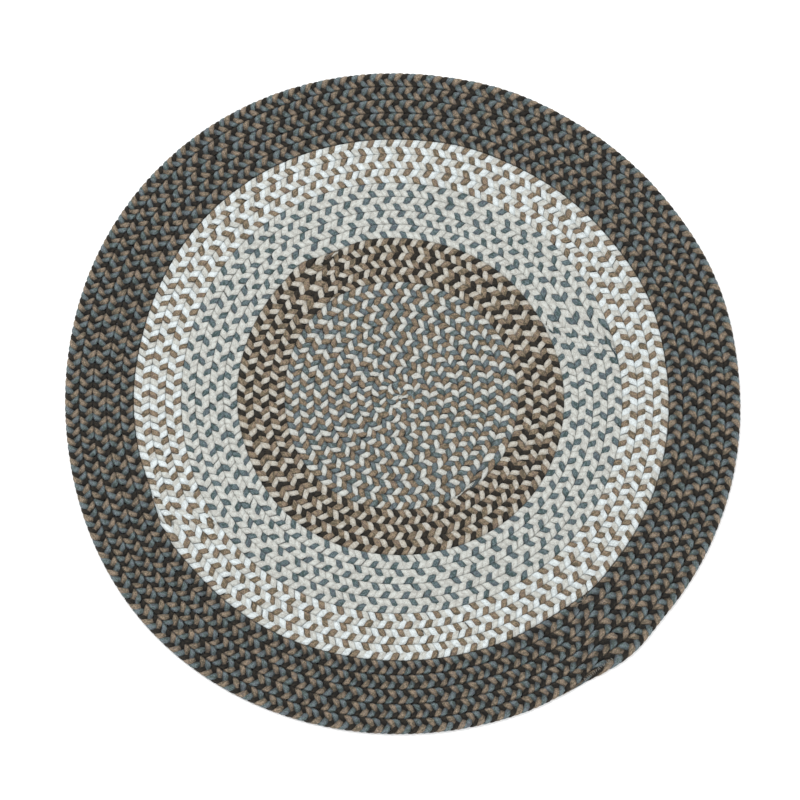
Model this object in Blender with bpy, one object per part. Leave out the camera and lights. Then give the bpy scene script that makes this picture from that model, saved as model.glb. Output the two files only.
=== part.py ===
"""A round braided rug, 1.22 m across, lying flat.

Five lengths of flat three-strand braid make it. Each length starts in a thin tail, winds clockwise (seen from
above) round the one before it, row against row, and thins out to a tail again. Each is one closed solid here,
with a raised rib for every row of braid. The plaits themselves are too many and too fine for these solids.

Metres, +Z up. The origin is in the middle of the underside. Angles are in degrees, anticlockwise from +X.
"""

import math

import bmesh
import bpy

# ---------------------------------------------------------------- the braid
BRAID_THICK = 0.011  # the flat braid is two strands thick
GROOVE_DEPTH = 0.0035  # the laced groove between two rows lies this far below their tops
CREST_SHARE = 0.27  # a row's flat top starts this share of its width in from each groove
CREST_START = 0.3  # a tail narrower than this share of a full row has no flat top
CREST_FULL = 0.8  # from this share on the flat top is at the braid's full height
GAP = 0.0003  # between two lengths of braid
RIM_ROUND = 0.003  # the rug's outer edge turns under by this much, in and up

# ---------------------------------------------------------------- the five lengths, from the middle out
# rows: full turns of braid. outer: the radius they reach, in metres. start: the angle of the first tail's tip.
# slip: how far each turn's step outwards runs on past the last one. first_step and last_step: the angle over
# which the braid steps out by one row, at its first turn and at its last, where it is the length of the tail.
COLUMNS = ("name", "rows", "outer", "start", "slip", "first_step", "last_step", "colour")
TABLE = (
    ("centre_braid", 8, 0.2115, 345.0, 2.6, 100.0, 34.0, (0.36, 0.32, 0.28)),
    ("dark_braid", 3, 0.2938, 130.0, 3.5, 17.0, 14.0, (0.27, 0.22, 0.18)),
    ("slate_braid", 4, 0.3985, 29.0, 2.3, 13.0, 15.0, (0.54, 0.56, 0.54)),
    ("white_braid", 3, 0.4818, 218.0, 2.5, 11.0, 9.5, (0.62, 0.60, 0.57)),
    ("outer_braid", 5, 0.6100, 314.5, 1.4, 8.5, 10.0, (0.13, 0.12, 0.11)),
)
BANDS = [dict(zip(COLUMNS, row)) for row in TABLE]

# ---------------------------------------------------------------- how far it is from a true circle
# The whole rug is pulled a little out of round: lobes, height in metres, angle of one lobe.
LOBES = ((2, 0.0022, 130.0), (3, 0.0026, 111.0), (4, 0.0021, 43.0))
LOBE_RADIUS = 0.3  # the lobes fade to nothing from here to the middle
# Where tails lie under or over a row, a seam swells or dips: seam number, angle, height, half length in degrees.
SWELLS = (
    (2, 30.0, -0.0030, 26.0),
    (2, 113.0, -0.0045, 12.0),
    (2, 127.0, 0.0050, 8.0),
    (2, 178.0, 0.0042, 34.0),
    (4, 22.0, 0.0038, 17.0),
    (4, 76.0, 0.0022, 13.0),
    (4, 180.0, 0.0020, 17.0),
    (4, 200.0, -0.0030, 8.0),
    (4, 212.0, 0.0045, 11.0),
    (4, 302.0, -0.0028, 11.0),
    (4, 315.0, 0.0024, 7.0),
    (5, 20.0, 0.0034, 18.0),
    (5, 71.0, 0.0022, 14.0),
    (5, 190.0, -0.0040, 38.0),
    (5, 300.0, -0.0026, 9.0),
    (5, 311.0, 0.0068, 9.0),
)

# ---------------------------------------------------------------- how finely the solids are cut
STATION = 0.036  # between two points along a row
STEP_STATION = 0.018  # the same where the braid steps outwards
LEAST_STATIONS = 16  # to a turn, at the middle of the rug
TIP_CLEAR = 1.2  # no other point of a seam lies nearer than this to a tail's tip, in degrees
TIP_REACH = 20.0  # a seam's points are as close as in a step from here to a tail's tip, in degrees
MERGE = 1e-6  # points nearer to each other than this are one point
SHARP_ANGLE = 50.0  # an edge bent further than this is drawn sharp
CLOTH_ROUGHNESS = 0.9


def smooth(share):
    """Rises from 0 to 1 with level ends."""
    share = min(1.0, max(0.0, share))
    return share * share * (3.0 - 2.0 * share)


def apart(angle, other):
    """The degrees between two angles, the short way round."""
    return abs((angle - other + 180.0) % 360.0 - 180.0)


def swell(angle, at, reach):
    """A rounded bump, 1 at its middle and 0 from its reach outwards."""
    return smooth(1.0 - apart(angle, at) / reach)


def seam_radius(seam, angle):
    """Seam 0 is the rug's middle, 5 its rim, and the others lie between two lengths of braid."""
    if seam == 0:
        return 0.0
    radius = BANDS[seam - 1]["outer"]
    fade = min(1.0, radius / LOBE_RADIUS)
    for lobes, height, at in LOBES:
        radius += fade * height * math.cos(math.radians(lobes * (angle - at)))
    for where, at, height, reach in SWELLS:
        if where == seam:
            radius += height * swell(angle, at, reach)
    return radius


def step_length(band, turn_number):
    """The angle over which the braid steps out by one row, at one of its turns."""
    share = (turn_number - 1) / (band["rows"] - 1)
    return band["first_step"] + (band["last_step"] - band["first_step"]) * share


def step_start(band, turn_number):
    """The winding angle where it starts to step out."""
    return 360.0 * turn_number + band["slip"] * (turn_number - 1)


def braid_end(band):
    """The winding angle of the last tail's tip. The first tail's tip is at 0, and it counts clockwise."""
    return step_start(band, band["rows"]) + step_length(band, band["rows"])


def rows_out(band, wound):
    """How many rows the braid's inner edge has stepped out, at a winding angle."""
    turns = range(1, band["rows"] + 1)
    return sum(smooth((wound - step_start(band, turn)) / step_length(band, turn)) for turn in turns)


def clockwise(first, angle):
    """How far clockwise one angle lies from another, from 0 to just under 360."""
    return round((first - angle) % 360.0, 6) % 360.0


def seam_angles(seam):
    """The points round a seam. Both lengths of braid that meet there use the same ones."""
    tips = [(BANDS[seam - 1]["start"] - braid_end(BANDS[seam - 1])) % 360.0]
    if seam < len(BANDS):
        tips.append(BANDS[seam]["start"] % 360.0)
    found = list(tips)
    angle = 0.0
    while angle < 360.0 - TIP_CLEAR:
        nearest = min(apart(angle, tip) for tip in tips)
        if nearest > TIP_CLEAR:
            found.append(angle)
        spacing = STEP_STATION if nearest < TIP_REACH else STATION
        angle += math.degrees(spacing / BANDS[seam - 1]["outer"])
    return sorted(found)


class Length:
    """One length of braid, built as a closed solid."""

    def __init__(self, seam):
        self.seam = seam
        self.band = BANDS[seam - 1]
        self.end = braid_end(self.band)
        self.mesh = bmesh.new()

    def place(self, wound, rows, height, inset=0.0):
        """A point of the solid, at a winding angle, a number of rows out from the inner seam and a height."""
        angle = self.band["start"] - wound
        inner = seam_radius(self.seam - 1, angle) + (GAP / 2 if self.seam > 1 else 0.0)
        outer = seam_radius(self.seam, angle) - (GAP / 2 if self.seam < len(BANDS) else 0.0)
        radius = inner + (outer - inner) * rows / self.band["rows"] - inset
        turn = math.radians(angle)
        return self.mesh.verts.new((radius * math.cos(turn), radius * math.sin(turn), height))

    def width(self, wound):
        """The braid's width here, in rows."""
        return rows_out(self.band, wound + 360.0) - rows_out(self.band, wound)

    def in_step(self, wound):
        """Whether the braid's inner or outer edge steps out here."""
        for turn in range(1, self.band["rows"] + 1):
            past = wound - step_start(self.band, turn)
            length = step_length(self.band, turn)
            if 0.0 <= past <= length or 0.0 <= past + 360.0 <= length:
                return True
        return False

    def stations(self, first, last):
        """Winding angles from first to last, spaced for the radius there."""
        wound = first
        found = []
        while wound < last:
            found.append(wound)
            inner = seam_radius(self.seam - 1, self.band["start"] - wound)
            outer = seam_radius(self.seam, self.band["start"] - wound)
            share = (rows_out(self.band, wound) + 0.5) / self.band["rows"]
            radius = max(inner + (outer - inner) * share, 1e-3)
            spacing = STEP_STATION if self.in_step(wound) and self.seam > 1 else STATION
            wound += min(math.degrees(spacing / radius), 360.0 / LEAST_STATIONS)
        return found

    def groove(self):
        """The braid's inner edge, on past its end for one more turn, where it is the length's outer seam."""
        start = self.band["start"]
        turns = [0.0]
        if self.seam > 1:
            turns = sorted(clockwise(start, angle) for angle in seam_angles(self.seam - 1))
        turns += [360.0] + [wound for wound in self.stations(360.0, self.end)[1:] if wound < self.end - TIP_CLEAR]
        turns += sorted(self.end + clockwise(start - self.end, angle) for angle in seam_angles(self.seam))
        turns.append(self.end + 360.0)
        low = BRAID_THICK - GROOVE_DEPTH
        return [(wound, self.place(wound, rows_out(self.band, wound), low)) for wound in turns]

    def crest(self, share, beside):
        """One edge of the row's flat top, at this share of its width, with a point beside each point given."""
        line = []
        for wound, _ in beside:
            width = self.width(wound)
            if width > CREST_START:
                rise = smooth((width - CREST_START) / (CREST_FULL - CREST_START))
                height = BRAID_THICK - GROOVE_DEPTH * (1.0 - rise)
                line.append((wound, self.place(wound, rows_out(self.band, wound) + share * width, height)))
        return line

    def face(self, *corners):
        if len(set(corners)) == len(corners):
            self.mesh.faces.new(corners)

    def lace(self, low, high):
        """Triangles between two lines of points that run side by side."""
        here = there = 0
        while here < len(low) - 1 or there < len(high) - 1:
            if there == len(high) - 1 or (here < len(low) - 1 and low[here + 1][0] <= high[there + 1][0]):
                self.face(low[here][1], low[here + 1][1], high[there][1])
                here += 1
            else:
                self.face(low[here][1], high[there + 1][1], high[there][1])
                there += 1

    def wall(self, edge, profile):
        """Walls down from a closed edge, through levels of (inset, height). Returns the bottom level's points."""
        upper = edge
        for inset, height in profile:
            lower = [(wound, self.place(wound, self.rows_at(edge), height, inset)) for wound, _ in edge[:-1]]
            lower.append((edge[-1][0], lower[0][1]))
            for (_, a), (_, b), (_, c), (_, d) in zip(upper, upper[1:], lower[1:], lower):
                self.face(a, b, c, d)
            upper = lower
        return upper

    def rows_at(self, edge):
        """How many rows out from the inner seam a closed edge lies."""
        return 0 if edge[0][0] == 0.0 else self.band["rows"]

    def by_angle(self, edge):
        """A closed edge's points in the order of their angles, with the first one again at the end."""
        line = [((self.band["start"] - wound) % 360.0, point) for wound, point in edge[:-1]]
        line.sort(key=lambda item: item[0])
        return line + [(line[0][0] + 360.0, line[0][1])]

    def build(self):
        groove = self.groove()
        inner_groove = [point for point in groove if point[0] <= self.end]
        outer_groove = [(wound - 360.0, point) for wound, point in groove if wound >= 360.0]
        near = self.crest(CREST_SHARE, inner_groove)
        far = self.crest(1.0 - CREST_SHARE, outer_groove)
        self.lace(inner_groove, near)
        self.lace(near, far)
        self.lace(far, outer_groove)
        self.face(groove[0][1], near[0][1], far[0][1])
        self.face(inner_groove[-1][1], far[-1][1], near[-1][1])

        outer_edge = [point for point in groove if point[0] >= self.end]
        rim = self.seam == len(BANDS)
        bottom = ((0.0, RIM_ROUND), (RIM_ROUND, 0.0)) if rim else ((0.0, 0.0),)
        outer = self.wall(outer_edge, bottom)
        if self.seam > 1:
            inner_edge = [point for point in groove if point[0] <= 360.0]
            inner = self.wall(inner_edge, ((0.0, 0.0),))
            self.lace(self.by_angle(inner), self.by_angle(outer))
        else:
            middle = self.mesh.verts.new((0.0, 0.0, 0.0))
            self.lace([(0.0, middle)], outer)
        bmesh.ops.remove_doubles(self.mesh, verts=self.mesh.verts, dist=MERGE)
        bmesh.ops.recalc_face_normals(self.mesh, faces=self.mesh.faces)
        return self.mesh


def cloth(name, colour):
    """A matt woven material in the length's mean colour."""
    material = bpy.data.materials.new(name)
    material.use_nodes = True
    shader = material.node_tree.nodes["Principled BSDF"]
    shader.inputs["Base Color"].default_value = (*colour, 1.0)
    shader.inputs["Roughness"].default_value = CLOTH_ROUGHNESS
    shader.inputs["Metallic"].default_value = 0.0
    return material


def add_length(seam):
    band = BANDS[seam - 1]
    mesh = bpy.data.meshes.new(band["name"])
    solid = Length(seam).build()
    solid.to_mesh(mesh)
    solid.free()
    mesh.shade_smooth()
    mesh.set_sharp_from_angle(angle=math.radians(SHARP_ANGLE))
    mesh.materials.append(cloth(band["name"] + "_cloth", band["colour"]))
    bpy.context.scene.collection.objects.link(bpy.data.objects.new(band["name"], mesh))


for old in list(bpy.data.objects):
    bpy.data.objects.remove(old, do_unlink=True)
for seam_number in range(1, len(BANDS) + 1):
    add_length(seam_number)
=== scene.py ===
# %% [markdown]
# # A round braided rug
#
# A braided rug is made from long strips of cloth. Three strips are plaited into a flat braid, and the braid
# is laid round and round itself and laced edge to edge. This one uses five lengths of braid, one after
# another, each in its own three colours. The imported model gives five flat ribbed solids, one for each
# length. Here every length becomes what it really is: three soft strands that pass over and under each
# other, all the way round.

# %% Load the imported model
import math

import bpy
import numpy as np
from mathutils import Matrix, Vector


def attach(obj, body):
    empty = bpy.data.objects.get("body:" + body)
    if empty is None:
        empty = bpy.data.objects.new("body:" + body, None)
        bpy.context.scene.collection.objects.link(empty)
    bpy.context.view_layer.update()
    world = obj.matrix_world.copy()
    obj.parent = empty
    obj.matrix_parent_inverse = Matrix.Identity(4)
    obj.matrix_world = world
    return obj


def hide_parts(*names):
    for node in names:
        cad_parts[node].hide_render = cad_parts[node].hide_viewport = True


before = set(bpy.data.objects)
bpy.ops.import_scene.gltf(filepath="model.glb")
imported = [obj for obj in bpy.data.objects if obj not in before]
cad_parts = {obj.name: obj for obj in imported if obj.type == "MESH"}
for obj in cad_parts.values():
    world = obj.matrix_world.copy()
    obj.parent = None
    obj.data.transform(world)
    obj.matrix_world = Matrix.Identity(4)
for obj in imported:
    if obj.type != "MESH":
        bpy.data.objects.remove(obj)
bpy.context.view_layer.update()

print("solids:", sorted(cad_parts))

# %% [markdown]
# ## The camera and the studio
#
# The photo looks almost straight down, from in front, with a long lens, so the rug's circle is squeezed
# only a little. A camera is fixed by what it looks at, how high it stands, how far away it is and its lens.
# Those four are stated and the camera's place is worked out from them. Two wide soft lamps, one high at the
# back left and one high at the front right, and an even white sky leave hardly any shadow, as in a
# catalogue photo on white.

# %% Camera, floor and lights
AIM = Vector((-0.0007, -0.0071, 0.0))  # what the middle of the picture shows
CAMERA_HEIGHT = math.radians(77.06)  # the angle it looks down at
CAMERA_AWAY = 5.0
CAMERA_LENS = 125.1
FLOOR_WIDTH = 30.0
FLOOR_CLEAR = 0.0003  # the floor lies this far under the cloth
SKY = 0.8  # its brightness


def look_from(thing, place, target):
    """Puts a camera or a lamp at a place, turned towards a target."""
    thing.location = place
    thing.rotation_euler = (target - place).to_track_quat("-Z", "Y").to_euler()
    bpy.context.scene.collection.objects.link(thing)


camera = bpy.data.objects.new("camera", bpy.data.cameras.new("camera"))
camera.data.lens = CAMERA_LENS
away = Vector((0.0, -math.cos(CAMERA_HEIGHT), math.sin(CAMERA_HEIGHT))) * CAMERA_AWAY
look_from(camera, AIM + away, AIM)
bpy.context.scene.camera = camera

LAMPS = (  # name, place, width, power
    ("key_lamp", (-1.2, 1.0, 3.4), 2.6, 100.0),
    ("fill_lamp", (2.2, -1.6, 3.0), 3.0, 58.0),
)
for name, place, width, power in LAMPS:
    lamp = bpy.data.lights.new(name, "AREA")
    lamp.shape = "DISK"
    lamp.size = width
    lamp.energy = power
    look_from(bpy.data.objects.new(name, lamp), Vector(place), AIM)

sky = bpy.data.worlds.new("studio")
sky.use_nodes = True
sky.node_tree.nodes["Background"].inputs["Color"].default_value = (1.0, 1.0, 1.0, 1.0)
sky.node_tree.nodes["Background"].inputs["Strength"].default_value = SKY
bpy.context.scene.world = sky
bpy.context.scene.view_settings.view_transform = "Standard"  # white stays white, as on a catalogue page

bpy.ops.mesh.primitive_plane_add(size=FLOOR_WIDTH, location=(0.0, 0.0, -FLOOR_CLEAR))
floor = bpy.context.object
floor.name = "floor"
print("camera at", [round(x, 3) for x in camera.location])

# %% [markdown]
# ## A short way to write materials
#
# A material is a graph of nodes, and long ones are hard to read as a list of nodes and links. `Wire` stands
# for one output of a node. Its arithmetic adds the Math nodes, so `1 - mask` makes a Subtract node. `Cloth`
# is a material in the making: its `node` method adds any other node, first its settings, then its sockets.

# %% Wire
class Wire:
    """One output of a node, with arithmetic that adds Math nodes."""

    def __init__(self, cloth, socket):
        self.cloth = cloth
        self.socket = socket

    def maths(self, operation, *values):
        """Adds one Math node."""
        return self.cloth.node("ShaderNodeMath", {"operation": operation}, values)

    def __add__(self, other):
        return self.maths("ADD", self, other)

    def __mul__(self, other):
        return self.maths("MULTIPLY", self, other)

    def __sub__(self, other):
        return self.maths("SUBTRACT", self, other)

    def __rsub__(self, other):
        return self.maths("SUBTRACT", other, self)

    def __mod__(self, other):
        return self.maths("FLOORED_MODULO", self, other)

    def __pow__(self, other):
        return self.maths("POWER", self, other)

    def __gt__(self, other):
        return self.maths("GREATER_THAN", self, other)

    def floor(self):
        return self.maths("FLOOR", self)

    def wave(self):
        """1 in the middle of each whole step and 0 at its ends."""
        return self.maths("ABSOLUTE", self.maths("SINE", self * math.pi))

    __radd__ = __add__
    __rmul__ = __mul__


# %% Cloth
GLOSS = 0.25  # half of what the shader gives a plain surface


class Cloth:
    """A material in the making."""

    def __init__(self, name, roughness, fuzz):
        self.material = bpy.data.materials.new(name)
        self.material.use_nodes = True
        self.tree = self.material.node_tree
        self.shader = self.tree.nodes["Principled BSDF"]
        self.shader.inputs["Roughness"].default_value = roughness
        self.shader.inputs["Sheen Weight"].default_value = fuzz
        self.shader.inputs["Specular IOR Level"].default_value = GLOSS

    def node(self, kind, settings=(), values=(), output=0):
        """Adds a node: its settings, then the values or wires of its sockets, by number or name."""
        node = self.tree.nodes.new(kind)
        for name, value in dict(settings).items():
            if name == "stops":
                self.set_stops(node.color_ramp, value)
            else:
                setattr(node, name, value)
        for key, value in dict(values if isinstance(values, dict) else enumerate(values)).items():
            if isinstance(value, Wire):
                self.tree.links.new(value.socket, node.inputs[key])
            else:
                node.inputs[key].default_value = value
        return Wire(self, node.outputs[output])

    def set_stops(self, ramp, stops):
        """Gives a colour ramp its places and colours."""
        while len(ramp.elements) < len(stops):
            ramp.elements.new(0.5)
        for element, (place, colour) in zip(ramp.elements, stops):
            element.position = place
            element.color = colour

    def mix(self, share, first, second):
        """A blend of two colours."""
        return self.node("ShaderNodeMix", {"data_type": "RGBA"}, {0: share, 6: first, 7: second}, 2)

    def feed(self, socket, wire):
        """Links a wire to one of the shader's sockets."""
        self.tree.links.new(wire.socket, self.shader.inputs[socket])


# %% Colours as the photo shows them
LIGHT = 1.2  # how much brighter the studio is than shows a colour as it is, so that the floor turns white
PAPER = (0.95, 0.95, 0.95, 1.0)


def dye(red, green, blue):
    """The cloth's own colour, from how the photo shows it, 0 to 255, with the screen's curve undone."""
    shown = np.array((red, green, blue)) / 255.0
    linear = np.where(shown <= 0.04045, shown / 12.92, ((shown + 0.055) / 1.055) ** 2.4)
    return (*(linear / LIGHT).tolist(), 1.0)


ground = Cloth("studio_floor", 0.9, 0.0)
ground.shader.inputs["Base Color"].default_value = PAPER
floor.data.materials.append(ground.material)

# %% [markdown]
# ## The way the braid runs
#
# The solids' own script lays each length of braid between two seams that aren't quite round. Its sizes are
# repeated here, because this script can't read that one. Each length starts at a thin tail, and once in
# every turn it steps outwards by its own width. Counting how many rows its inner edge has stepped out gives
# the place and the width of the braid anywhere along it. Whole arrays of angles are worked out at once with
# numpy.

# %% Sizes of the five lengths
BRAID_THICK = 0.011
# outer: the mean radius of the outer seam. start: the angle of the first tail's tip. slip: by how many
# degrees the braid steps out later in each turn. first_step and last_step: over how many degrees it does.
# plait: one whole repeat of the plait, in metres. loose: 0 where the plait is tight and 1 where its strands
# stand apart. bead: 1 where a strand bulges between its folds like a bead, and 0 where it keeps its width.
# slits: the share of the braid's half thickness over which painted shade darkens the slits between
# strands. square: 1 where a strand's section is an ellipse, and less where it is squarer. strands: their
# cloths, in the order that they leave the outer edge, going anticlockwise.
COLUMNS = ("name", "rows", "outer", "start", "slip", "first_step", "last_step", "plait", "loose", "bead",
           "slits", "square", "strands")
TABLE = (
    ("centre_braid", 8, 0.2115, 345.0, 2.6, 100.0, 34.0, 0.0331, 1.0, 0.35, 0.8, 0.8,
     ("cream", "brown", "slate")),
    ("dark_braid", 3, 0.2938, 130.0, 3.5, 17.0, 14.0, 0.0334, 0.7, 0.2, 0.8, 0.7,
     ("dark", "brown", "warm_cream")),
    ("slate_braid", 4, 0.3985, 29.0, 2.3, 13.0, 15.0, 0.0373, 0.0, 0.0, 0.7, 0.6,
     ("teal", "cream", "cream")),
    ("white_braid", 3, 0.4818, 218.0, 2.5, 11.0, 9.5, 0.0352, 0.0, 0.0, 0.7, 0.6,
     ("brown", "cream", "white")),
    ("outer_braid", 5, 0.6100, 314.5, 1.4, 8.5, 10.0, 0.0349, 1.0, 1.0, 0.4, 1.0,
     ("taupe", "slate", "dark")),
)
BANDS = [dict(zip(COLUMNS, row)) for row in TABLE]
print("rows of braid:", sum(band["rows"] for band in BANDS))

# %% Seams that aren't quite round
LOBES = ((2, 0.0022, 130.0), (3, 0.0026, 111.0), (4, 0.0021, 43.0))  # lobes, height, angle of one lobe
LOBE_RADIUS = 0.3  # the lobes fade to nothing from here to the middle
SWELLS = (  # seam number, angle, height, half length in degrees
    (2, 30.0, -0.0030, 26.0),
    (2, 113.0, -0.0045, 12.0),
    (2, 127.0, 0.0050, 8.0),
    (2, 178.0, 0.0042, 34.0),
    (4, 22.0, 0.0038, 17.0),
    (4, 76.0, 0.0022, 13.0),
    (4, 180.0, 0.0020, 17.0),
    (4, 200.0, -0.0030, 8.0),
    (4, 212.0, 0.0045, 11.0),
    (4, 302.0, -0.0028, 11.0),
    (4, 315.0, 0.0024, 7.0),
    (5, 20.0, 0.0034, 18.0),
    (5, 71.0, 0.0022, 14.0),
    (5, 190.0, -0.0040, 38.0),
    (5, 300.0, -0.0026, 9.0),
    (5, 311.0, 0.0068, 9.0),
)


def smooth(share):
    """Rises from 0 to 1 with level ends."""
    share = np.clip(share, 0.0, 1.0)
    return share * share * (3.0 - 2.0 * share)


def seam_radius(seam, angle):
    """Seam 0 is the rug's middle, 5 its rim, and the others lie between two lengths of braid."""
    if seam == 0:
        return np.zeros_like(angle)
    radius = np.full_like(angle, BANDS[seam - 1]["outer"])
    fade = min(1.0, BANDS[seam - 1]["outer"] / LOBE_RADIUS)
    for lobes, height, at in LOBES:
        radius += fade * height * np.cos(np.radians(lobes * (angle - at)))
    for where, at, height, reach in SWELLS:
        if where == seam:
            radius += height * smooth(1.0 - np.abs((angle - at + 180.0) % 360.0 - 180.0) / reach)
    return radius


# %% Steps from row to row
def step_length(band, turn):
    """The angle over which the braid steps out by one row."""
    return band["first_step"] + (band["last_step"] - band["first_step"]) * (turn - 1) / (band["rows"] - 1)


def step_start(band, turn):
    """The winding angle where it starts to. It counts clockwise from the first tail's tip."""
    return 360.0 * turn + band["slip"] * (turn - 1)


def rows_out(band, wound):
    """How many rows the braid's inner edge has stepped out, at a winding angle."""
    turns = range(1, band["rows"] + 1)
    return sum(smooth((wound - step_start(band, turn)) / step_length(band, turn)) for turn in turns)


# %% Points along the middle of the braid
FINE = 0.25  # degrees between the points that its length is measured on
STATIONS = 12  # to a repeat of the plait
PULL = 0.05  # a repeat is up to this share longer or shorter than the mean, and twice that in a loose plait
PULL_SPAN = 40  # stations over which that drifts
TAIL_STRETCH = 1.1  # at the last tail's tip, repeats are longer by this share
BEND_TIGHT = 0.6  # how much shorter repeats are where the braid's outer edge runs longer than its middle
ALMOST = 0.01  # rows; a place nearer than this to the rug's last row is on it


def drift(rng, count, span, amount):
    """A random line that wanders smoothly between minus and plus an amount."""
    knots = rng.uniform(-amount, amount, count // span + 3)
    return np.interp(np.arange(count) / span, np.arange(len(knots)), knots)


def braid_line(number, band):
    """The braid's middle, the direction outwards and its width in metres, at each station of its plait."""
    rng = np.random.default_rng(number)
    end = step_start(band, band["rows"]) + step_length(band, band["rows"])
    wound = np.arange(0.0, end, FINE)
    angle = band["start"] - wound
    inner = seam_radius(number - 1, angle)
    row = (seam_radius(number, angle) - inner) / band["rows"]
    near = rows_out(band, wound)
    far = rows_out(band, wound + 360.0)
    radius = inner + row * (near + far) / 2.0
    turn = np.radians(angle)
    middle = np.stack([radius * np.cos(turn), radius * np.sin(turn)], 1)
    length = np.concatenate([[0.0], np.cumsum(np.linalg.norm(np.diff(middle, axis=0), axis=1))])

    repeats = round(length[-1] / band["plait"])
    count = repeats * STATIONS + 1
    even = np.linspace(0.0, length[-1], count)
    past_first_tail = np.interp(even, length, near) > 0
    stretch = 1.0 + TAIL_STRETCH * (1.0 - np.interp(even, length, far - near)) * past_first_tail
    stretch /= 1.0 + BEND_TIGHT * np.interp(even, length, row / 2.0 / np.maximum(radius, row / 2.0))
    pace = np.cumsum(stretch * (1.0 + drift(rng, count, PULL_SPAN, PULL * (1.0 + band["loose"]))))
    at = (pace - pace[0]) / (pace[-1] - pace[0]) * length[-1]
    # share: the width as a share of a full row. rim: 1 where the braid's outer edge is the rug's rim.
    line = {"length": length[-1], "repeats": repeats, "at": at}
    line["middle"] = np.stack([np.interp(at, length, middle[:, axis]) for axis in (0, 1)], 1)
    line["width"] = np.interp(at, length, (far - near) * row)
    line["share"] = np.interp(at, length, far - near)
    rows_left = sum(other["rows"] for other in BANDS[number - 1:])
    line["rim"] = np.interp(at, length, far >= rows_left - ALMOST)
    ahead = np.gradient(line["middle"], axis=0)
    ahead /= np.linalg.norm(ahead, axis=1)[:, None]
    line["outward"] = np.stack([-ahead[:, 1], ahead[:, 0]], 1)
    return line


# %% The five lengths, laid out
LINES = [braid_line(number, band) for number, band in enumerate(BANDS, 1)]
for band, line in zip(BANDS, LINES):
    print(f'{band["name"]}: {line["length"]:.2f} m of braid, {line["repeats"]} repeats')

# %% [markdown]
# ## The strands
#
# In a flat braid of three, each strand runs from edge to edge. It folds over an edge and climbs, crosses
# the near half of the braid on top, dives in the middle and crosses the far half below. The three follow
# each other a third of a repeat apart. A strand is a soft flat sleeve, and folding keeps its section lined
# up with the row. So its path is a row of sections that all point along the row, each a third of a repeat
# wide. Three such strands cover the row twice and leave no hole, which is why the plait shows neat slanting
# lozenges on both faces. Modelling them gives the real overlaps, the slits and the notched edge, from
# above, below and the side. A tube of eight points round is enough at this scale, and smooth shading does
# the rest.

# %% Sizes of a strand
AROUND = 8  # points round a strand
HALF_THICK = 0.0028
TAIL_THICK = 0.72  # at a tail's tip it is this thick, as a share of the full thickness
FULLNESS = {  # of each length's strands, in their order; the fullest ones bulge and hide the others
    "centre_braid": (1.0, 1.02, 0.96),
    "dark_braid": (0.86, 1.07, 1.0),
    "slate_braid": (0.93, 1.04, 1.04),
    "white_braid": (0.96, 1.0, 1.04),
    "outer_braid": (1.15, 1.07, 0.89),
}
UNEVEN_SPAN = 5  # stations over which a strand's sizes and place wander
UNEVEN_WIDE = 0.11  # by how large a share of its width
UNEVEN_THICK = 0.07  # and of its thickness
UNEVEN_PLACE = 0.0016  # how far it strays along the row
UNEVEN_UP = 0.0005  # and up and down in a loose plait

# %% The path of a strand
LIFT = 0.0032  # of a strand's middle over and under the braid's middle
LOOSE_LOW = 0.0002  # and this much less in a loose plait
BEAD_LIFT = 0.22  # by this share a bead stands higher
SUNK_STRAND = ("outer_braid", 2)  # this one lies lower than the two others
SUNK = 0.0007
FOLD = 0.32  # the share of its path that a strand spends climbing at the edges
BEAD_FOLD = 0.12  # and this much more where it bulges like a bead
PRESS = 0.0009  # rows are pressed into each other by this much
LEAST_SHARE = 0.16  # a tail's tip is this wide at the rim, as a share of a full row, and twice that elsewhere


def strand_path(line, band, third, theta, half_thick, thick):
    """How far each section of a strand lies across the row and above the braid's middle."""
    fold = FOLD + BEAD_FOLD * band["bead"]
    swing = np.clip(np.arcsin(np.cos(theta)) / (math.pi / 2.0) / (1.0 - fold), -1.0, 1.0)
    least = LEAST_SHARE * (2.0 - line["rim"])
    width = line["width"] * np.maximum(1.0, least / np.maximum(line["share"], ALMOST))
    across = np.maximum(width / 2.0 + PRESS - half_thick, 0.0) * swing
    lift = LIFT * (1.0 + BEAD_LIFT * band["bead"]) - LOOSE_LOW * band["loose"]
    height = lift * thick * np.sin(2.0 * theta) - SUNK * ((band["name"], third) == SUNK_STRAND)
    return across, height


# %% How wide a strand is
OVERLAP = 1.08  # how much wider a strand is than the room it has beside the next one
BEAD_OVERLAP = 0.03  # and this much more where it bulges like a bead
NARROW = 0.05  # it is narrower by this share where it dives, and where it folds over the edge
BEAD_NARROW = 0.2  # and by this much more where it bulges like a bead
LEAST_BEND = 0.25  # of its width is left to a strand at the inside of the tightest bend


def strand_width(line, band, theta, across, full, rng):
    """Half of each section's size along the row: half a third of a repeat, and less inside a bend."""
    bend = 1.0 + across / np.maximum(np.linalg.norm(line["middle"], axis=1), BRAID_THICK / 2.0)
    half_wide = np.gradient(line["at"]) * STATIONS / 6.0 * np.maximum(bend, LEAST_BEND) * full
    half_wide *= OVERLAP + BEAD_OVERLAP * band["bead"]
    is_outside = np.cos(theta) > math.sqrt(0.5)
    ends = np.cos(2.0 * theta) ** 2 * np.where(is_outside, 1.0 - line["rim"], 1.0)
    half_wide *= 1.0 - (NARROW + BEAD_NARROW * band["bead"]) * ends
    return half_wide * (1.0 + drift(rng, len(theta), UNEVEN_SPAN, UNEVEN_WIDE))


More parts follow.
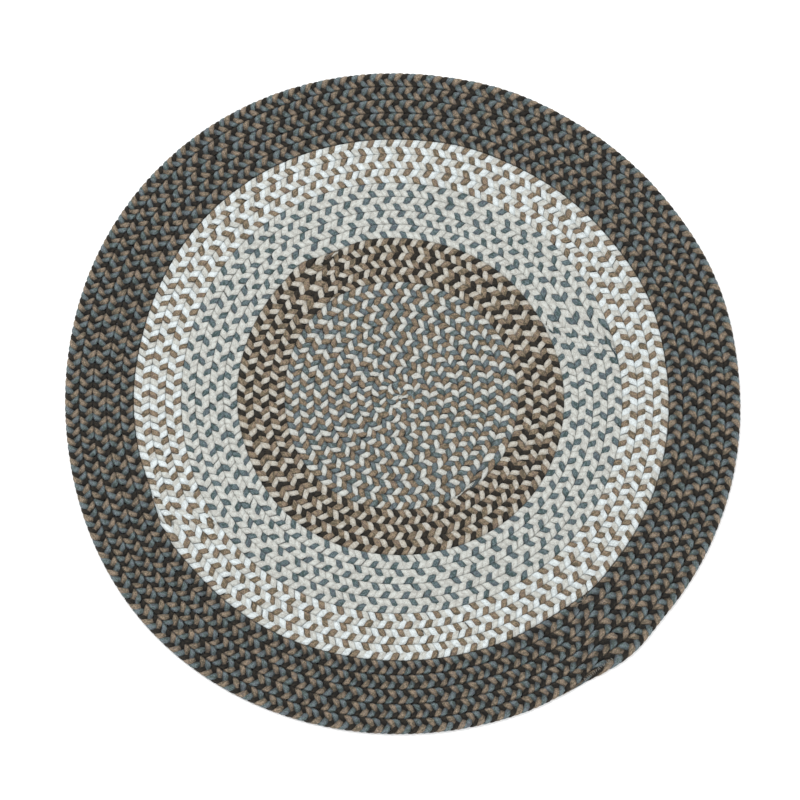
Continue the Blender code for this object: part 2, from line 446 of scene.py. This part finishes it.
# %% One strand as arrays
TOP_STRAND = {"centre_braid": 0, "dark_braid": 2, "slate_braid": 0, "white_braid": 2, "outer_braid": 0}
TAIL_SHARE = 1.5  # at a last end that strand lies over the others, from 1 / 1.5 of a full row's width on
TOP_UP = 0.0016  # how far it lies above the braid's middle there
UNDER_DOWN = 0.0010  # and the two others below it
TOP_FULL = 0.3  # it is thicker there by this share
SIDE_SHADE = 0.8  # how dark the painted shade on a bead's sides is, where it meets the next one
UP = np.array((0.0, 0.0, 1.0))


def strand_tube(line, band, third, rng):
    """One strand's points, how far along it each ring of them lies, and how much painted shade each one gets.
    """
    count = len(line["at"])
    theta = -2.0 * math.pi * ((np.arange(count) + band["loose"] / 2.0) / STATIONS + third / 3.0)
    full = FULLNESS[band["name"]][third]
    thick = TAIL_THICK + (1.0 - TAIL_THICK) * smooth(line["share"])
    half_thick = HALF_THICK * thick * full * (1.0 + drift(rng, count, UNEVEN_SPAN, UNEVEN_THICK))
    across, height = strand_path(line, band, third, theta, half_thick, thick)
    top = (line["at"] > line["length"] / 2.0) * (1.0 - smooth(TAIL_SHARE * line["share"]))
    is_top = float(third == TOP_STRAND[band["name"]])
    height += top * ((is_top * TOP_UP - (1.0 - is_top) * UNDER_DOWN) - height)
    half_thick *= 1.0 + top * is_top * TOP_FULL
    half_wide = strand_width(line, band, theta, across, full, rng)

    outward = np.pad(line["outward"], ((0, 0), (0, 1)))
    ahead = np.stack([outward[:, 1], -outward[:, 0], outward[:, 2]], 1)
    height += drift(rng, count, UNEVEN_SPAN, UNEVEN_UP * band["loose"])
    middle = np.pad(line["middle"], ((0, 0), (0, 1))) + outward * across[:, None]
    middle += ahead * drift(rng, count, UNEVEN_SPAN, UNEVEN_PLACE)[:, None]
    middle += UP * (BRAID_THICK / 2.0 * thick + height)[:, None]
    over, rise = np.gradient(across)[:, None], np.gradient(height)[:, None]
    thin = (UP * over - outward * rise) / np.hypot(over, rise)

    turn = 2.0 * math.pi * np.arange(AROUND) / AROUND
    wide, high = (np.sign(wave) * np.abs(wave) ** band["square"] for wave in (np.cos(turn), np.sin(turn)))
    tube = middle[:, None] + ahead[:, None] * (half_wide[:, None] * wide)[..., None]
    tube += thin[:, None] * (half_thick[:, None] * high)[..., None]
    tube[..., 2] = np.maximum(tube[..., 2], 0.0)
    along = np.concatenate([[0.0], np.cumsum(np.linalg.norm(np.diff(middle, axis=0), axis=1))])
    # Painted shade: strongest halfway up the braid, in the slits between strands, and none on its top and
    # bottom faces. A bead's sides get more, and less goes where a strand folds over the rug's rim.
    deep = smooth((1.0 - np.abs(tube[..., 2] / (BRAID_THICK / 2.0) - 1.0)) / band["slits"])
    deep = np.maximum(deep, SIDE_SHADE * band["bead"] * np.abs(np.cos(turn)) ** 4)
    deep *= (1.0 - line["rim"] * np.clip(np.cos(theta), 0.0, 1.0))[:, None]
    return tube, along, deep


# %% Yarn, layout and a place in the scene
ROUND = 0.0272  # the way round a strand
UV_EDGE = 0.05  # empty share of each row of the bake's layout, on both sides


def add_yarn(mesh, yarn):
    """Gives every point its place in the cloth: how far along the strand, and two measures across it."""
    mesh.attributes.new("yarn", "FLOAT_VECTOR", "POINT").data.foreach_set("vector", yarn.ravel())


def add_layout(mesh, along):
    """A layout for baking: the tube is slit open and laid out in rows, one above the other."""
    steps = len(along) - 1
    rows = max(1, round(math.sqrt((along[-1] - along[0]) / ROUND)))
    per_row = math.ceil(steps / rows)
    step = np.arange(steps)
    left = (step % per_row) / per_row
    low = (step // per_row + UV_EDGE) / rows
    side = np.arange(AROUND)[None]
    corner = np.array([[0, 0], [1, 0], [1, 1], [0, 1]])  # in the order of a quad's corners
    uv = np.empty((steps, AROUND, 4, 2), np.float32)
    uv[..., 0] = left[:, None, None] + corner[:, 0] / per_row
    uv[..., 1] = low[:, None, None] + (side[..., None] + corner[:, 1]) / AROUND * (1.0 - 2.0 * UV_EDGE) / rows
    cap_uv = np.tile(uv[-1, -1, 0], (2 * AROUND, 1))
    layer = mesh.uv_layers.new(name="OFBake")
    layer.data.foreach_set("uv", np.concatenate([uv.reshape(-1, 2), cap_uv]).ravel())


def linked_piece(name, mesh):
    """Puts a mesh in the scene as a piece."""
    piece = bpy.data.objects.new(name, mesh)
    bpy.context.scene.collection.objects.link(piece)
    return piece


# %% A mesh from the arrays
SEED_APART = 7.0  # metres of yarn between two strands' patterns


def strand_mesh(name, tube):
    """A closed tube of quads, with a cap at each end. Its faces look outwards."""
    rings = len(tube)
    ring = np.arange(rings - 1)[:, None] * AROUND
    here = np.arange(AROUND)[None]
    there = (here + 1) % AROUND
    quads = np.stack([ring + here, ring + AROUND + here, ring + AROUND + there, ring + there], -1)
    caps = [np.arange(AROUND), (rings - 1) * AROUND + np.arange(AROUND)[::-1]]
    corners = np.concatenate([quads.ravel(), *caps])
    sizes = np.concatenate([np.full(quads.size // 4, 4), [AROUND, AROUND]])
    mesh = bpy.data.meshes.new(name)
    mesh.vertices.add(rings * AROUND)
    mesh.vertices.foreach_set("co", tube.astype(np.float32).ravel())
    mesh.loops.add(len(corners))
    mesh.loops.foreach_set("vertex_index", corners.astype(np.int32))
    mesh.polygons.add(len(sizes))
    mesh.polygons.foreach_set("loop_start", np.concatenate([[0], np.cumsum(sizes)[:-1]]).astype(np.int32))
    mesh.update(calc_edges=True)
    mesh.shade_smooth()
    return mesh


def strand_object(name, tube, along, deep, seed):
    """A strand with the coordinates of its yarn, the painted shade of its slits and its layout."""
    mesh = strand_mesh(name, tube)
    turn = 2.0 * math.pi * np.arange(AROUND) / AROUND
    yarn = np.empty((len(tube), AROUND, 3), np.float32)
    yarn[..., 0] = along[:, None] + seed * SEED_APART
    yarn[..., 1] = np.cos(turn) * ROUND / (2.0 * math.pi)
    yarn[..., 2] = np.sin(turn) * ROUND / (2.0 * math.pi)
    add_yarn(mesh, yarn)
    mesh.attributes.new("deep", "FLOAT", "POINT").data.foreach_set("value", deep.astype(np.float32).ravel())
    add_layout(mesh, along)
    return linked_piece(name, mesh)


# %% [markdown]
# ## The cloth of a strand
#
# Each strand is a soft sleeve of many fine yarns, wound round it both ways and crossing over and under. A
# yarn is about a millimetre wide, far too fine to model, so the crossing is a pattern in the material: it
# paints shade into the slits between yarns and feeds the bump. The yarns are heathered. Each one has a shade
# of its own, and the whole strand drifts from shade to shade every centimetre or two, so that no two plaits
# look the same. Shade is painted into the slits between strands too, darkest halfway up the braid.

# %% The yarn pattern
YARNS = 22  # round a strand, wound each way
YARN_SLANT = 1.15  # a yarn's step along the strand is this much longer than its step round it
PITCH = ROUND / YARNS * YARN_SLANT
WAYS_APART = 50.0  # keeps the numbers of the yarns wound one way clear of those wound the other way
DRIFT_SIZE = 0.016  # a change of shade along the strand
HEATHER_SIZE = 0.0034  # a tuft of lighter or darker fibres
FLECK_SIZE = 0.0011
YARN_SHADE = 0.6  # how much lighter or darker a yarn is by itself
HEATHER = 3.0  # and a tuft
FLECK_COVER = 0.7  # how much of the cloth under it a fleck covers
YARN_GAP_SHADE = 0.6  # how strongly painted shade, in the next colour, darkens the slits between yarns
# the colour that the painted shade between yarns multiplies by
YARN_GAP_SHADE_COLOUR = (0.35, 0.33, 0.3, 1.0)
SLIT_SHADE_COLOUR = (16, 15, 14)  # the colour of the painted shade deep in the slits between the strands
FIRST_STOP = 0.1  # where the first tone lies in the range
STOPS_LONG = 0.8  # and how far from it the last one
BUMP = {"Strength": 0.7, "Distance": 0.0004}  # how far a yarn stands out of the cloth
ROUGH, FUZZ = 0.95, 0.06  # matt, with a few loose fibres that catch the light


def noise(cloth, place, size, detail):
    """Soft random clouds about this size."""
    return cloth.node("ShaderNodeTexNoise", {}, {"Vector": place, "Scale": 1.0 / size, "Detail": detail})


def strand_cloth(name, tones, fleck, flecks, contrast, shadow):
    """A heathered cloth. tones: its range of shades. flecks: their share. shadow: its painted shade in the
    slits.
    """
    cloth = Cloth(name, ROUGH, FUZZ)
    place = cloth.node("ShaderNodeAttribute", {"attribute_name": "yarn"}, output="Vector")
    along, level, height = (cloth.node("ShaderNodeSeparateXYZ", {}, [place], axis) for axis in "XYZ")
    around = along.maths("ARCTAN2", height, level) * (YARNS / (2.0 * math.pi))
    steps = along * (1.0 / PITCH)
    left, right = steps + around, steps - around
    over = (left.floor() + right.floor()) % 2.0
    ridge = left.wave() * over + right.wave() * (1.0 - over)
    left_yarn, right_yarn = left.floor() % float(YARNS), right.floor() % float(YARNS)
    yarn = left_yarn * over + (right_yarn + WAYS_APART) * (1.0 - over)
    own_shade = cloth.node("ShaderNodeTexWhiteNoise", {"noise_dimensions": "1D"}, {"W": yarn}, "Value")
    wander = noise(cloth, place, DRIFT_SIZE, 1.5)
    tufts = noise(cloth, place, HEATHER_SIZE, 1.0)
    shade = 0.5 + (wander - 0.5) * contrast + (own_shade - 0.5) * YARN_SHADE + (tufts - 0.5) * HEATHER
    places = FIRST_STOP + STOPS_LONG * np.arange(len(tones)) / (len(tones) - 1)
    stops = [(spot, dye(*tone)) for spot, tone in zip(places.tolist(), tones)]
    colour = cloth.node("ShaderNodeValToRGB", {"stops": stops}, [shade], "Color")
    is_fleck = noise(cloth, place, FLECK_SIZE, 0.0) > 1.0 - flecks
    colour = cloth.mix(is_fleck * FLECK_COVER, colour, dye(*fleck))
    # painted shade in the slits between yarns
    yarn_gap_shade = (1.0 - ridge) ** 2.0 * YARN_GAP_SHADE
    colour = cloth.node("ShaderNodeMix", {"data_type": "RGBA", "blend_type": "MULTIPLY"},
                        {0: yarn_gap_shade, 6: colour, 7: YARN_GAP_SHADE_COLOUR}, 2)
    # painted shade in the slits between strands, as much as each point was given
    deep = cloth.node("ShaderNodeAttribute", {"attribute_name": "deep"}, output="Fac")
    cloth.feed("Base Color", cloth.mix(deep * shadow, colour, dye(*SLIT_SHADE_COLOUR)))
    cloth.feed("Normal", cloth.node("ShaderNodeBump", {}, {**BUMP, "Height": ridge}, "Normal"))
    return cloth.material


# %% The cloths' colours
# name: its tones from one end of its range to the other, then the flecks' colour and share, how far it
# wanders, and how dark its painted shade gets deep in the slits
CLOTHS = {
    "cream": (((193, 193, 187), (210, 212, 206), (216, 220, 215)),
              (150, 146, 138), 0.30, 1.3, 0.15),
    "warm_cream": (((184, 177, 163), (203, 199, 188), (210, 208, 199)),
                   (146, 136, 122), 0.30, 1.3, 0.2),
    "white": (((207, 214, 215), (227, 236, 237), (234, 243, 245)),
              (184, 192, 194), 0.30, 1.3, 0.1),
    "brown": (((104, 95, 78), (148, 134, 109), (175, 153, 129), (123, 108, 96)),
              (90, 80, 66), 0.36, 2.2, 0.5),
    "taupe": (((114, 105, 89), (156, 141, 119), (180, 158, 137), (130, 119, 108)),
              (82, 75, 65), 0.36, 2.2, 0.75),
    "slate": (((87, 101, 98), (116, 134, 135), (134, 149, 156), (102, 108, 115)),
              (72, 84, 85), 0.36, 2.2, 0.7),
    "teal": (((68, 86, 85), (104, 125, 127), (124, 139, 146), (88, 96, 104)),
             (62, 78, 80), 0.36, 2.2, 0.3),
    "dark": (((24, 23, 19), (44, 41, 34), (62, 54, 44), (38, 37, 33)),
             (78, 70, 60), 0.33, 2.2, 0.85),
}
cloths = {name: strand_cloth(name + "_cloth", *values) for name, values in CLOTHS.items()}
print("cloths:", ", ".join(cloths))

# %% [markdown]
# ## Plaiting the rug
#
# Every length of braid gets its three strands. A strand stands for its length's solid, which is hidden, and
# rides with the rug. Each one is a flat sleeve of cloth before it is plaited; how wide the sleeve is pressed
# flat and how long the strand is are printed.

# %% Make all strands
LONGEST = 30.0  # metres; a longer strand is joined from equal lengths of strip, end to end

total = 0
for number, (band, line) in enumerate(zip(BANDS, LINES), 1):
    used = {}
    for third, colour in enumerate(band["strands"]):
        seed = 10 * number + third
        tube, along, deep = strand_tube(line, band, third, np.random.default_rng(seed))
        used[colour] = used.get(colour, 0) + 1
        flat = ROUND / 2.0 * FULLNESS[band["name"]][third]
        lengths = math.ceil(along[-1] / LONGEST)
        ends = np.linspace(0, len(along) - 1, lengths + 1).astype(int)
        for length, (first, last) in enumerate(zip(ends[:-1], ends[1:]), 1):
            part = slice(first, last + 1)
            name = f'{band["name"]}_{colour}_strand_{used[colour]}_length_{length}'
            piece = strand_object(name, tube[part], along[part], deep[part], seed)
            piece.data.materials.append(cloths[colour])
            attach(piece, "root")
            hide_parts(band["name"])
            long = float(along[last] - along[first])
            total += 2 * len(piece.data.polygons)
            print(f"{name}: {long:.2f} m long, {flat * 1000.0:.1f} mm wide flat")
print("triangles:", total)

# %% [markdown]
# ## The first fold and the stitches
#
# The braid starts in the rug's middle, where one cream strand is folded over the others and lies nearly
# straight. Where a length of braid ends, thread whips its tail down. On four last ends a row of short
# stitches shows, and on the outer braid's first end a few long slanting ones. The fold and each stitch are
# small bowed tubes with their ends pushed into the cloth. The stitches of one tail are one mesh, made from
# arrays like the strands, and their thread is the strands' cloth in another colour.

# %% Short tubes
SIDES = 8  # points round one


def short_tubes(name, path, wide, high):
    """A mesh of closed tubes. path is tubes by rings by 3; wide and high are half sizes of every ring."""
    tubes, rings = path.shape[:2]
    ahead = np.gradient(path, axis=1)
    ahead /= np.linalg.norm(ahead, axis=2)[..., None]
    level = np.stack([ahead[..., 1], -ahead[..., 0], np.zeros((tubes, rings))], -1)
    level /= np.linalg.norm(level, axis=2)[..., None]
    turn = 2.0 * math.pi * np.arange(SIDES) / SIDES
    points = level[:, :, None] * (np.reshape(wide, (-1, 1)) * np.cos(turn))[..., None]
    up = np.cross(level, ahead)
    points = points + up[:, :, None] * (np.reshape(high, (-1, 1)) * np.sin(turn))[..., None]
    points += path[:, :, None]
    start = (np.arange(tubes)[:, None] * rings + np.arange(rings - 1))[..., None] * SIDES
    here = np.arange(SIDES)
    there = (here + 1) % SIDES
    faces = np.stack([start + here, start + SIDES + here, start + SIDES + there, start + there], -1)
    caps = np.concatenate([start[:, 0] + here, start[:, -1] + SIDES + here[::-1]])
    mesh = bpy.data.meshes.new(name)
    mesh.from_pydata(points.reshape(-1, 3).tolist(), [], faces.reshape(-1, 4).tolist() + caps.tolist())
    mesh.shade_smooth()
    along = np.cumsum(np.linalg.norm(np.diff(path, axis=1, prepend=path[:, :1]), axis=2), axis=1)
    yarn = np.stack(np.broadcast_arrays(along[..., None], np.cos(turn) * ROUND, np.sin(turn) * ROUND), -1)
    add_yarn(mesh, yarn)
    piece = linked_piece(name, mesh)
    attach(piece, "root")
    return piece


# %% Fold the first strand over the middle
FOLD_FROM = np.array((-0.0190, -0.0106))
FOLD_TO = np.array((0.0094, 0.0008))
FOLD_RINGS = np.linspace(0.0, 1.0, 13)
FOLD_SWAY = 0.0008  # it bends a little to each side
FOLD_LOW = 0.0040  # the height of its ends, which are hidden
FOLD_RISE = 0.0038  # and how far its middle lies above them
FOLD_WIDE = 0.0046  # half its width at the first end
FOLD_TAPER = 0.0014  # and how much less it is at the other end
FOLD_THICK = 0.0036  # half its thickness
FOLD_BLUNT = 0.06  # this share of its rounding is cut off at each end, so that they are blunt
FOLD_ROUND = 0.6  # the smaller, the more suddenly its ends round off

spread = np.sin(math.pi * (FOLD_BLUNT + (1.0 - 2.0 * FOLD_BLUNT) * FOLD_RINGS)) ** FOLD_ROUND
flat = FOLD_FROM + (FOLD_TO - FOLD_FROM) * FOLD_RINGS[:, None]
flat[:, 1] += FOLD_SWAY * np.sin(2.0 * math.pi * FOLD_RINGS)
path = np.column_stack([flat, FOLD_LOW + FOLD_RISE * np.sin(math.pi * FOLD_RINGS) ** 0.5])
wide = (FOLD_WIDE - FOLD_TAPER * FOLD_RINGS) * spread
fold = short_tubes("centre_braid_first_fold", path[None], wide, FOLD_THICK * spread)
fold.data.materials.append(cloths["cream"])
long = float(np.linalg.norm(np.diff(path, axis=0), axis=1).sum())
print(f"first fold: {long:.3f} m")

# %% Make the stitches
# length of braid, its end, stitches, metres from the tip to the first, apart and aslant, colour
STITCHED = (
    ("centre_braid", "last", 5, 0.050, 0.0036, 0.0028, (66, 92, 102)),
    ("dark_braid", "last", 6, 0.034, 0.0032, 0.0028, (44, 42, 46)),
    ("slate_braid", "last", 5, 0.024, 0.0036, 0.0028, (58, 76, 92)),
    ("outer_braid", "last", 17, 0.034, 0.0038, 0.0028, (158, 155, 147)),
    ("outer_braid", "first", 6, 0.015, 0.0060, 0.0120, (158, 149, 138)),
)
STITCH_REACH = 0.0034  # to each side of the tail's middle
STITCH_LEAST, STITCH_MOST = 0.6, 1.1  # shares of that, between which each stitch's own reach lies
STITCH_TOP = 0.95  # of the tail's thickness
STITCH_DEEP = 0.0036  # how far its ends go down
STITCH_UNEVEN = 0.3  # how far a stitch strays, as a share of the distance between two
THREAD = 0.00048  # half its thickness
THREAD_DARK, THREAD_LIGHT = 0.8, 1.12  # shares of the thread's colour, for its other two shades
THREAD_LOOK = (0.3, 1.5, 0.0)  # share of flecks, how far its shade wanders, strength of the painted shade in slits
swing = np.linspace(-1.0, 1.0, 7)

for name, end, stitches, first_at, apart, slant, colour in STITCHED:
    line = dict(zip((band["name"] for band in BANDS), LINES))[name]
    rng = np.random.default_rng(stitches)
    at = first_at + apart * (np.arange(stitches) + rng.uniform(-STITCH_UNEVEN, STITCH_UNEVEN, stitches))
    at = line["length"] - at if end == "last" else at
    where = at[:, None] + slant * rng.uniform(-1.0, 1.0, stitches)[:, None] / 2.0 * swing
    outward, path = (np.stack([np.interp(where, line["at"], line[key][:, axis]) for axis in (0, 1)], -1)
                     for key in ("outward", "middle"))
    reach = STITCH_REACH * rng.uniform(STITCH_LEAST, STITCH_MOST, stitches)[:, None] * swing
    thick = TAIL_THICK + (1.0 - TAIL_THICK) * smooth(np.interp(where, line["at"], line["share"]))
    height = STITCH_TOP * BRAID_THICK * thick - STITCH_DEEP * swing ** 4
    path = np.concatenate([path + outward * reach[..., None], height[..., None]], -1)
    piece = short_tubes(f"{name}_{end}_stitches", path, THREAD, THREAD)
    darker, lighter = (tuple(share * level for level in colour) for share in (THREAD_DARK, THREAD_LIGHT))
    thread = strand_cloth(f"{name}_{end}_thread", (darker, colour, lighter), darker, *THREAD_LOOK)
    piece.data.materials.append(thread)
    print(f"{piece.name}: {stitches}")
